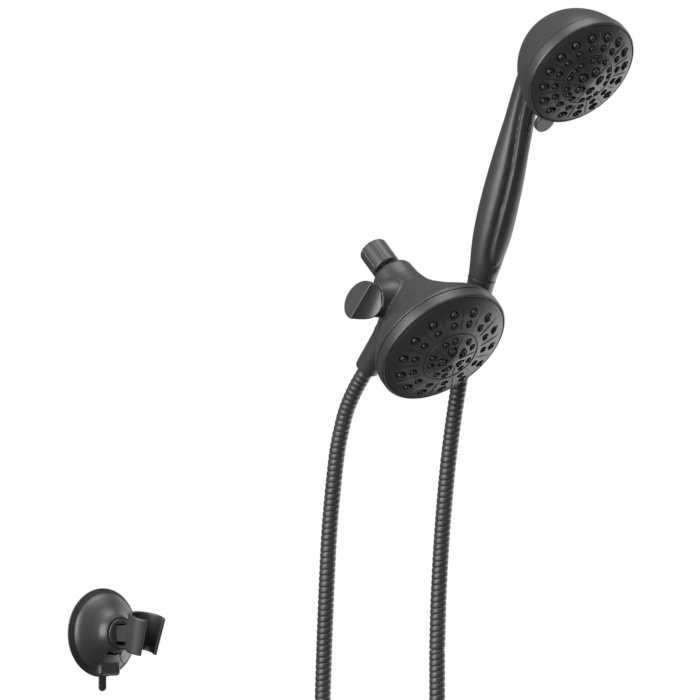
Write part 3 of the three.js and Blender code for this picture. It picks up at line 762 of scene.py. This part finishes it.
FIXED_FACE = {
    "prefix": "head",
    "rim": 63.3,
    "band": 10.8,
    "plate": [(61.0, -0.1), (60.3, 0.7), (58.2, 2.0), (48.4, 6.7), (37.5, 9.8), (28.3, 12.3)],
    "centre": [(27.9, 12.4), (21.9, 14.0), (11.5, 17.0), (5, 18.6), (0, 19.2)],
    "sectors": 14,
    "phase": 8.2,
    "rings": [(48.4, 4.5, 2.6), (37.5, 3.7, 2.1)],
    "ribs": (30.5, 54.5),
    "lobe_phase": 49.5,
    "lobe_nozzles": [(21.9, 3.5, 2.1, (-13.3, 13.3))],
    "ports": {"radius": 11.5, "size": 5.0, "nub": 3.2},
    "tab": None,
}
HANDSET_FACE = {
    "prefix": "handset",
    "rim": 55.8,
    "band": 10.5,
    "plate": [(53.5, -0.1), (52.8, 0.7), (51.0, 1.7), (43.4, 5.2), (33.6, 7.6), (26.7, 9.6)],
    "centre": [(26.3, 9.7), (22.5, 11.2), (11.4, 14.2), (5, 15.6), (0, 16.1)],
    "sectors": 16,
    "phase": 15.4,
    "rings": [(43.4, 4.7, 2.7), (33.6, 3.6, 2.1)],
    "ribs": (28.5, 48.8),
    "lobe_phase": 10.4,
    "lobe_nozzles": [(22.5, 3.1, 1.9, (-19.8, 0, 19.8)), (11.4, 5.0, 3.0, (0,))],
    "ports": None,
    "tab": -101,
}


def height_at(outline, radius):
    radii, heights = np.array(outline[::-1], float).T
    return float(np.interp(radius, radii, heights))


def outer_nozzles(face):
    """(radius, angle, recess radius, nub radius) of the nozzles in the outer plate."""
    step = 360 / face["sectors"]
    return [(radius, face["phase"] + step * i, recess, nub)
            for i in range(face["sectors"]) for radius, recess, nub in face["rings"]]


def centre_nozzles(face):
    places = []
    for lobe in range(LOBES):
        for radius, recess, nub, angles in face["lobe_nozzles"]:
            for angle in angles:
                places.append((radius, face["lobe_phase"] + LOBE_STEP * lobe + angle, recess, nub))
    return places


def on_face(outline, radius, angle):
    return turn((0, 0, 1), angle) @ shift(radius, 0, height_at(outline, radius))


def port_places(face):
    """Frames of the five large openings in the middle, on a face that has them."""
    if not face["ports"]:
        return []
    return [on_face(face["centre"], face["ports"]["radius"], face["lobe_phase"] + LOBE_STEP * lobe)
            for lobe in range(LOBES)]


def recess_cutter(radius):
    """A round hole with a small countersink."""
    return lathe([(0, -7), (radius - 0.35, -7), (radius - 0.35, -0.5), (radius + 0.7, 0.6),
                  (radius + 1.0, 4), (0, 4)], 28)


def port_cutter(size):
    """A rounded triangle, its flat side outwards, with sloping walls."""
    sides = 36
    rings = [(-7, 0.8), (-0.4, 0.86), (0.4, 1.06), (4, 1.4)]
    points = []
    for height, scale in rings:
        for i in range(sides):
            angle = 2 * math.pi * i / sides
            reach = size * scale * (1 - 0.17 * math.cos(3 * angle))
            points.append((reach * math.cos(angle), 1.12 * reach * math.sin(angle), height))
    return outward(np.array(points, float), stacked_rings(len(rings), sides))


def nozzle(radius):
    """A rubber nub: a flange, a domed tip and a small hole down its middle."""
    profile = [(0, -3.2), (1.25, -3.2), (1.25, -2.2), (1, -1.9), (0.98, -0.4), (0.9, 0.5),
               (0.7, 1.15), (0.46, 1.4), (0.414, 1.35), (0.36, 1.1), (0.324, -2.6), (0, -2.6)]
    return lathe([(radius * reach, z) for reach, z in profile], 28)


def rib(outline, start, end, angle_at, half_width, height):
    """A thin raised rib over the face along a line of radius and angle, pointed at both ends."""
    steps = 22
    profile = [(-1.0, -0.9), (-0.75, 0.1), (-0.3, 0.92), (0.3, 0.92), (0.75, 0.1), (1.0, -0.9)]
    radii = np.linspace(start, end, steps)
    points = []
    for i, radius in enumerate(radii):
        t = i / (steps - 1)
        swell = math.sqrt(max(0.0, math.sin(math.pi * t))) * 0.95 + 0.05
        angle = math.radians(angle_at(t))
        base = height_at(outline, radius)
        for offset, level in profile:
            x = radius * math.cos(angle) - offset * half_width * swell * math.sin(angle)
            y = radius * math.sin(angle) + offset * half_width * swell * math.cos(angle)
            points.append((x, y, base + level * height * swell - 0.05))
    return outward(np.array(points), stacked_rings(steps, len(profile)))


def domed_plate(outline, thickness=2.0):
    upper = curve_through(outline, 1.6)
    upper[:, 0] = np.maximum(upper[:, 0], 0)
    lower = upper - (0, thickness)
    return lathe(np.vstack([upper, lower[::-1]]), 160)


def holed_plate(plate, outline, nozzles, *openings):
    """Cuts a recess round every nozzle into a plate, and the larger openings."""
    cutters = [moved(recess_cutter(recess), on_face(outline, radius, angle))
               for radius, angle, recess, _ in nozzles]
    return combined(plate, joined(*cutters, *openings), "DIFFERENCE")


def outer_plate(face):
    """The ring of the face: recesses round the nozzles and ribs between the sectors."""
    outline = face["plate"]
    edge = (outline[0][0] - 0.05, outline[0][1] - 0.3)
    plate = holed_plate(domed_plate([edge, *outline]), outline, outer_nozzles(face))
    step = 360 / face["sectors"]
    ribs = []
    for i in range(face["sectors"]):
        middle = face["phase"] + step * (i + 0.5)
        ribs.append(rib(outline, *face["ribs"], lambda t, m=middle: m, 0.72, 0.9))
    return joined(plate, *ribs)


def centre_plate(face):
    """The middle of the face: five lobes between curved ribs, inside a raised lip."""
    outline = face["centre"]
    edge_radius, edge_height = outline[0]
    openings = [moved(port_cutter(face["ports"]["size"]), place) for place in port_places(face)]
    plate = holed_plate(domed_plate(outline), outline, centre_nozzles(face), *openings)
    lip = lathe(softened([
        (edge_radius - 1.5, edge_height - 0.6), (edge_radius, edge_height - 0.9),
        (edge_radius, edge_height + 0.6), (edge_radius - 0.9, edge_height + 0.95),
    ], 0.3), 160)
    ribs = []
    for lobe in range(LOBES):
        middle = face["lobe_phase"] + LOBE_STEP * (lobe + 0.5)
        ribs.append(rib(outline, 4.5, edge_radius - 1.0,
                        lambda t, m=middle: m + 10 * (1 - t) ** 1.6, 0.75, 0.9))
    return joined(plate, lip, *ribs)


def nozzle_mat(outline, nozzles, last_radius, *others):
    """The rubber sheet behind a plate, with its nubs through the plate's holes."""
    sheet = curve_through(outline, 2.5)
    sheet[:, 0] = np.clip(sheet[:, 0], 0, last_radius)
    sheet = lathe(np.vstack([sheet - (0, 2.5), (sheet - (0, 3.7))[::-1]]), 96)
    nubs = [moved(nozzle(nub), on_face(outline, radius, angle))
            for radius, angle, _, nub in nozzles]
    return joined(sheet, *nubs, *others)


def selector_tab(rim):
    """A rounded finger tab that sticks out below the bezel."""
    flare = turned_about([(0, -2.4), (9.0, -2.4), (9.4, -1.6), (9.4, 1.6), (9.0, 2.4), (0, 2.4)],
                         shift(rim + 4.2, 0, -5.6))
    root = block((rim - 1.0, -9.4, -8.0), (rim + 4.6, 9.4, -3.2), 0.8)
    return union(flare, root, 1.2)


def bezel(face):
    rim = face["rim"]
    band = face["band"]
    outline = softened([
        (rim - 2.1, -band), (rim - 1.2, -band), (rim, -band + 1.0), (rim + 0.05, -5), (rim, -1.6),
        (rim - 0.5, -0.5), (rim - 1.5, 0.3), (rim - 2.1, 0.1),
    ], 0.5)
    ring = lathe(outline, 192)
    if face["tab"] is None:
        return ring
    tab = surface_of(selector_tab(rim), (rim - 4, -12, -10), (rim + 16, 12, -1), 0.45)
    return joined(ring, moved(tab, turn((0, 0, 1), face["tab"])))


def add_face(face, place, body, selector):
    prefix = face["prefix"]
    plate = face["plate"]
    centre = face["centre"]
    add_piece(prefix + "_bezel", bezel(face), place, selector)
    add_piece(prefix + "_face_plate", outer_plate(face), place, body, sharp=30)
    add_piece(prefix + "_centre_plate", centre_plate(face), place, body, sharp=30)
    mat = nozzle_mat(plate[2:], outer_nozzles(face), plate[2][0] - 0.8)
    add_piece(prefix + "_nozzle_mat", mat, place, body)
    sunk = [moved(nozzle(face["ports"]["nub"]), place, shift(0, 0, -0.9))
            for place in port_places(face)]
    mat = nozzle_mat(centre, centre_nozzles(face), centre[0][0], *sunk)
    add_piece(prefix + "_centre_mat", mat, place, body)


add_face(FIXED_FACE, head_face_frame, SHOWER, "head_selector")
add_face(HANDSET_FACE, hand_face_frame, HANDSET, "handset_selector")

# ---- dock, nuts and nipples ----------------------------------------------


def cone_radius(z):
    """Radius of the handset's hose nut at a height below the handle's seam."""
    return 12.8 + 2.4 * z / CONE_LENGTH


def dock():
    """A split socket on a short arm that grows out of the housing's side."""
    to_head = np.linalg.inv(handle_frame) @ head_frame
    socket = turned_about([(cone_radius(-28) + 0.3, -28), (15.0, -28), (15.6, -28.8), (15, -49.2),
                           (14.4, -50), (cone_radius(-50) + 0.3, -50)])
    hollow = turned_about([(0, -20), (cone_radius(-20) + 0.3, -20), (cone_radius(-60) + 0.3, -60),
                           (0, -60)])
    arm = block((-27, -7, -48), (-12.4, 7, -30), 1.5)
    saddle = turned_about([(0, 50), *[(r + 0.6, z) for r, z in TRUMPET[4:]], (0, 121)], to_head)
    body = union(socket, arm, 3)
    body = minus(body, hollow, 0.3)
    body = minus(body, block((0, -8.4, -60), (20, 8.4, -20)), 1.0)
    body = minus(body, saddle, 0.3)
    return surface_of(body, (-30, -18, -53), (18, 18, -25), 0.6)


def hose_nut(start, end, start_radius, end_radius):
    """A tapering nut: plain skin with a small bead at its mouth and a rounded lip at the hose."""
    outline = [
        (9.95, start), (start_radius - 0.4, start), (start_radius, start + 0.4),
        (start_radius - 0.05, start + 2.6), (start_radius - 0.35, start + 2.9),
        (end_radius + 0.25, end - 4.2), (end_radius, end - 0.8), (end_radius - 0.7, end),
        (8.2, end), (8.2, start + 21.6), (9.95, start + 21.6),
    ]
    return lathe(softened(outline, 0.35), 96)


def add_fittings():
    add_piece("dock", dock(), handle_frame, SHOWER, sharp=50)
    add_piece("outlet_nut", hose_nut(NUT_START, NUT_END, 11.8, 11), outlet_frame, "outlet_nut_body")
    add_piece("outlet_nipple", joined(tube(5, 8.4, 27, 45.6), tube(5, NIPPLE_R, 45.6, 60)),
              outlet_frame, SHOWER)
    flip = turn((1, 0, 0), 180)
    nut = hose_nut(0.5, CONE_LENGTH, 12.8, cone_radius(-CONE_LENGTH))
    add_piece("handset_nut", moved(nut, flip), handle_frame, "handset_nut_body")
    add_piece("handset_nipple", joined(tube(5, 9.9, 0.4, 14), tube(5, NIPPLE_R, -15, 0.4)),
              handle_frame, HANDSET)


add_fittings()

# ---- handset -------------------------------------------------------------

# [height, middle y, half width, half depth] of the handle's sections
HANDLE_SECTIONS = np.array([
    (0, 0, 12.4, 12.9), (8, 0, 13.3, 13.8), (22, 0, 15.2, 15.9), (38, 0, 16.7, 17.6),
    (55, 0, 17.3, 18.4), (75, 0, 17.2, 18.4), (95, 0, 16.6, 17.7), (115, 0, 15.6, 16.5),
    (135, 0, 14.3, 15), (150, 0, 13.3, 13.8), (172, -0.4, 12.6, 13), (190, -2.4, 12.8, 13.2),
    (204, -7, 14, 14), (214, -13.4, 15.6, 14), (222, -22, 16.4, 12.5),
])
# half of the leaf-shaped panel on the handle's front: [distance round from the middle, height]
LEAF = [(0, 14), (4.2, 16), (7.6, 21), (9.9, 29), (11.3, 40), (11.5, 55), (10.6, 80), (9.6, 107),
        (10, 130), (10.8, 151), (11, 185), (0, 185)]
NOTCH = [(0, 141), (0.7, 148), (1.5, 158), (2.2, 168), (2.4, 185), (0, 185)]
VALLEY_DEPTH = 2.2
PANEL_RISE = 0.75
NOTCH_DEPTH = 1.9


def smooth_step(t):
    t = np.clip(t, 0, 1)
    return t * t * (3 - 2 * t)


def handle_skin():
    """A grid of sections with a leaf-shaped panel between two valleys on its front."""
    sections = curve_through(HANDLE_SECTIONS, 1.25)
    sides = 120
    angles = np.arange(sides) * 2 * math.pi / sides
    points = []
    for z, middle, half_width, half_depth in sections:
        x = half_width * np.sin(angles)
        y = -half_depth * np.cos(angles)
        round_front = np.minimum(angles, 2 * math.pi - angles) * (half_width + half_depth) / 2
        height = np.full(sides, z)
        edge = outline_distance(LEAF, round_front, height)
        notch = outline_distance(NOTCH, round_front, height)
        valley = VALLEY_DEPTH * np.exp(-(np.maximum(edge, 0) / 4.2) ** 2
                                       - (np.minimum(edge, 0) / 1.5) ** 2)
        panel = PANEL_RISE * smooth_step(-edge / 4)
        cut = NOTCH_DEPTH * smooth_step(0.5 - notch / 1.4)
        fade = smooth_step((196 - z) / 14)
        scale = 1 - fade * (valley - panel + cut) / np.hypot(x, y)
        points.append(np.stack([x * scale, middle + y * scale, height], 1))
    return outward(np.vstack(points), stacked_rings(len(points), sides))


def dome_outline(radius, reach, end, steps=36):
    """Quarter of an ellipse from the back of the dome to the plane of the bezel."""
    outline = [(0, -reach)]
    for i in range(1, steps + 1):
        z = end - (reach + end) * math.cos(i / steps * math.pi / 2)
        outline.append((radius * math.sqrt(1 - (z / reach) ** 2), z))
    return outline


def handle_shell():
    band = HANDSET_FACE["band"]
    rim = HANDSET_FACE["rim"]
    depth = 63
    end = -band - 0.3
    outer = dome_outline(rim - 0.2, depth, end) + [(rim - 2.6, end), (0, end)]
    dome = moved(lathe(outer, 160), to_hand_face)
    inner = dome_outline(rim - 3.2, depth - 2.8, -band - 4.8, 20)
    inner += [(rim - 2.3, -band - 4.8), (rim - 2.3, 0), (0, 0)]
    hollow = moved(lathe(inner, 96), to_hand_face)
    body = combined(handle_skin(), dome, "UNION")
    body = combined(body, hollow, "DIFFERENCE")
    mouth = tube(0, 10.3, -1, 190, edge=0)
    return combined(body, mouth, "DIFFERENCE")


add_piece("handle_shell", handle_shell(), handle_frame, HANDSET, sharp=32)

# ---- wall bracket --------------------------------------------------------

COVER = [(35.8, 4.6), (35.6, 6), (33.4, 8.8), (29, 12), (22.6, 16), (18, 20), (15.9, 24.4),
         (15.6, 25.8), (15.3, 26)]
COVER_INSIDE = [(13.4, 26), (13.4, 18.6), (3.6, 18.6), (3.6, 17), (15, 17), (19.6, 14.4),
                (25, 10.8), (31, 7.4), (33.6, 4.6)]
TONGUE = [(3.2, -14.4), (6.4, -19.4), (9.7, -22.9), (14.4, -26.4), (20.4, -30), (27, -33)]


def cover_outline():
    return [*curve_through(COVER[:-2], 1.2), *COVER[-2:], *COVER_INSIDE]


def tongue(margin):
    """The flared strip at the bottom of the cover that belongs to the lever, wider by a margin."""
    outline = [(0, -14.4), *curve_through(TONGUE, 1.0), (27, -45), (0, -45)]

    def distance(points):
        x, y, _ = points.T
        beyond = LEVER_INNER_R - np.hypot(x, y)
        return np.maximum(outline_distance(outline, np.abs(x), y), beyond) - margin
    return distance


def suction_cup():
    lip = curve_through([(36.6, 0.1), (38.6, 0.05), (39.7, 0.3), (CUP_R, 0.9), (39.6, 1.5),
                         (37.8, 2.2), (35.6, 3.2), (34, 3.9)], 0.4)
    outline = [(0, 2.6), (10, 2.6), (30, 1.9), *lip, (24, 4.9), (11, 6.2),
               (11, 8.4), (10.6, 8.6), (3.4, 8.6), (3.4, 4.6), (0, 4.6)]
    cup = lathe(outline, 160)
    stem = union(block((-4.2, -48.6, 0.2), (4.2, -36, 2.2), 0.9),
                 turned_about([(0, 0.2), (3.8, 0.2), (4.2, 0.6), (4.2, 1.8), (3.8, 2.2), (0, 2.2)],
                              shift(0, -48.4, 0)), 0.1)
    tab = surface_of(stem, (-6, -54, -1), (6, -34, 4), 0.4)
    return joined(cup, tab)


def bracket_cover():
    body = minus(turned_about(cover_outline()), tongue(0.4), 0.3)
    body = minus(body, block((-8.4, -24, 4), (8.4, -8.6, 19.8)), 0.4)
    for side in (-1, 1):
        lug = block((side * 10 - 1.8, -4, 8.6), (side * 10 + 1.8, 4, 17.2))
        body = union(body, lug, 0.3)
    for sink in (0, PIN_TRAVEL):
        body = minus(body, rod(1.75, -14, 14, shift(0, 0, -sink), lever_pin_axis), 0.1)
    return surface_of(body, (-37.5, -37.5, 3), (37.5, 37.5, 28), 0.42)


def lock_lever():
    """The tongue of the cover, running out into a box for the fingertip, on two cheeks."""
    skin = turned_about(cover_outline())
    strip = tongue(0)

    def shell(points):
        return np.maximum(skin(points), strip(points))
    finger = block((-12, -38.6, 5.6), (12, -27.5, 13.4), 3.2)
    body = union(shell, finger, 3.0)
    body = minus(body, block((-10, -36.6, 3), (10, -30, 11.4), 0.8), 0.3)
    for side in (-1, 1):
        left = side * 5.9 - 1.6
        right = side * 5.9 + 1.6
        cheek = union(block((left, -24, 9.8), (right, -8, 13.2)),
                      block((left, -10, 11.6), (right, 0, 14.4)))
        eye = rod(2.6, left, right, lever_pin_axis)
        body = union(union(body, cheek), eye)
    body = minus(body, rod(1.55, -14, 14, lever_pin_axis), 0.1)
    return surface_of(body, (-28, -41, 3), (28, 5, 20), 0.38)


def turret():
    body = turned_about([(0, 19), (13.1, 19), (13.1, 27), (12.5, 27.6), (0, 27.6)])
    body = minus(body, block((-5.6, -10.2, 20.4), (5.6, 8.6, 32)), 0.4)
    pin = rod(1.65, -20, 20, tilt_pin_axis)
    return surface_of(minus(body, pin, 0.1), (-15, -15, 17), (15, 15, 30), 0.5)


def clip():
    """A split ring that grips the handset's cone, on a square arm."""
    lean = shift(0, 0, CLIP_Z) @ turn((1, 0, 0), CLIP_LEAN - 90)
    ring = turned_about([(11.3, -17), (14, -17), (14.4, -16.6), (16.9, 16.4), (16.5, 17),
                         (14.0, 17), (13.7, 16.6)], lean)
    local = into(lean)

    def gap(points):
        x, y, _ = local(points).T
        turned = np.mod(np.arctan2(y, x) - math.radians(CLIP_GAP_AT) + math.pi, 2 * math.pi)
        angle = np.degrees(np.abs(turned - math.pi))
        return (angle - CLIP_GAP / 2) * math.radians(1) * np.hypot(x, y)
    ring = minus(ring, gap, 1.2)
    arm = block((-5.2, -7.3, 25.6), (5.2, 7.3, 49), 0.8)
    foot = block((-5.2, -3.6, 21.2), (5.2, 3.6, 27), 0.8)
    arm = union(arm, foot, 2)
    arm = minus(arm, rod(15.2, -40, 40, lean), 0.1)
    body = union(ring, arm, 1.6)
    bore = turned_about([(0, -20), (11.05, -20), (13.95, 20), (0, 20)], lean)
    body = minus(body, bore, 0.2)
    pin = rod(1.65, -14, 14, tilt_pin_axis)
    return surface_of(minus(body, pin, 0.1), (-20, -24, 19), (20, 26, 81), 0.6)


def add_bracket():
    add_piece("suction_cup", suction_cup(), bracket_frame, WALL)
    add_piece("bracket_cover", bracket_cover(), bracket_frame, WALL, sharp=50)
    add_piece("lock_lever", lock_lever(), bracket_frame, "lever", sharp=50)
    add_piece("clip_turret", turret(), bracket_frame, "turret", sharp=50)
    add_piece("clip", clip(), bracket_frame, "clip_body", sharp=50)
    pin = moved(tube(0, 1.4, -11.6, 11.6), lever_pin_axis)
    add_piece("lever_pin", pin, bracket_frame, "cup_core")
    pin = moved(tube(0, 1.4, -11.4, 11.4), tilt_pin_axis)
    add_piece("tilt_pin", pin, bracket_frame, "turret")


add_bracket()

# ---- floor, light and background -----------------------------------------


def add_floor():
    half = 2.5
    level = cad_box[0][2] - 0.12
    corners = [(x * half, y * half, level) for x, y in ((-1, -1), (1, -1), (1, 1), (-1, 1))]
    floor = to_object("floor", (np.array(corners), [[0, 1, 2, 3]]))
    material = bpy.data.materials.new("pale_floor")
    material.use_nodes = True
    shader = material.node_tree.nodes["Principled BSDF"]
    shader.inputs["Base Color"].default_value = (0.86, 0.86, 0.86, 1)
    shader.inputs["Roughness"].default_value = 0.9
    floor.data.materials.append(material)
    floor.visible_glossy = False
    floor.visible_diffuse = False
    floor.visible_shadow = False


def add_light(name, place, size, power):
    data = bpy.data.lights.new(name, "AREA")
    data.shape = "RECTANGLE"
    data.size, data.size_y = size
    data.energy = power
    light = bpy.data.objects.new(name, data)
    light.location = place
    light.rotation_euler = (Vector(place) - Vector((0, 0, -0.1))).to_track_quat("Z", "Y").to_euler()
    bpy.context.scene.collection.objects.link(light)


def add_world():
    """White where the camera looks past the object, else a grey room that is darker below."""
    world = bpy.data.worlds.new("studio")
    bpy.context.scene.world = world
    world.use_nodes = True
    nodes = world.node_tree.nodes
    links = world.node_tree.links
    nodes.clear()
    output = nodes.new("ShaderNodeOutputWorld")
    white = nodes.new("ShaderNodeBackground")
    white.inputs["Color"].default_value = (1, 1, 1, 1)
    room = nodes.new("ShaderNodeBackground")
    direction = nodes.new("ShaderNodeTexCoord")
    axes = nodes.new("ShaderNodeSeparateXYZ")
    links.new(direction.outputs["Generated"], axes.inputs["Vector"])
    height = nodes.new("ShaderNodeMapRange")
    height.inputs["From Min"].default_value = -0.5
    height.inputs["From Max"].default_value = 0.7
    height.inputs["To Min"].default_value = 0.08
    height.inputs["To Max"].default_value = 0.4
    links.new(axes.outputs["Z"], height.inputs["Value"])
    links.new(height.outputs["Result"], room.inputs["Strength"])
    path = nodes.new("ShaderNodeLightPath")
    mix = nodes.new("ShaderNodeMixShader")
    links.new(path.outputs["Is Camera Ray"], mix.inputs["Fac"])
    links.new(room.outputs["Background"], mix.inputs[1])
    links.new(white.outputs["Background"], mix.inputs[2])
    links.new(mix.outputs["Shader"], output.inputs["Surface"])


add_floor()
add_world()
add_light("left_panel", (-3.2, -0.3, 0.6), (2.6, 3.6), 205)
add_light("right_panel", (3.2, 0.2, -0.5), (3.0, 5.0), 85)
add_light("low_panel", (2.3, -0.5, -2.2), (2.6, 2.6), 30)
add_light("top_panel", (0.4, -0.8, 3.0), (2.8, 2.8), 95)
bpy.context.scene.view_settings.view_transform = "Standard"
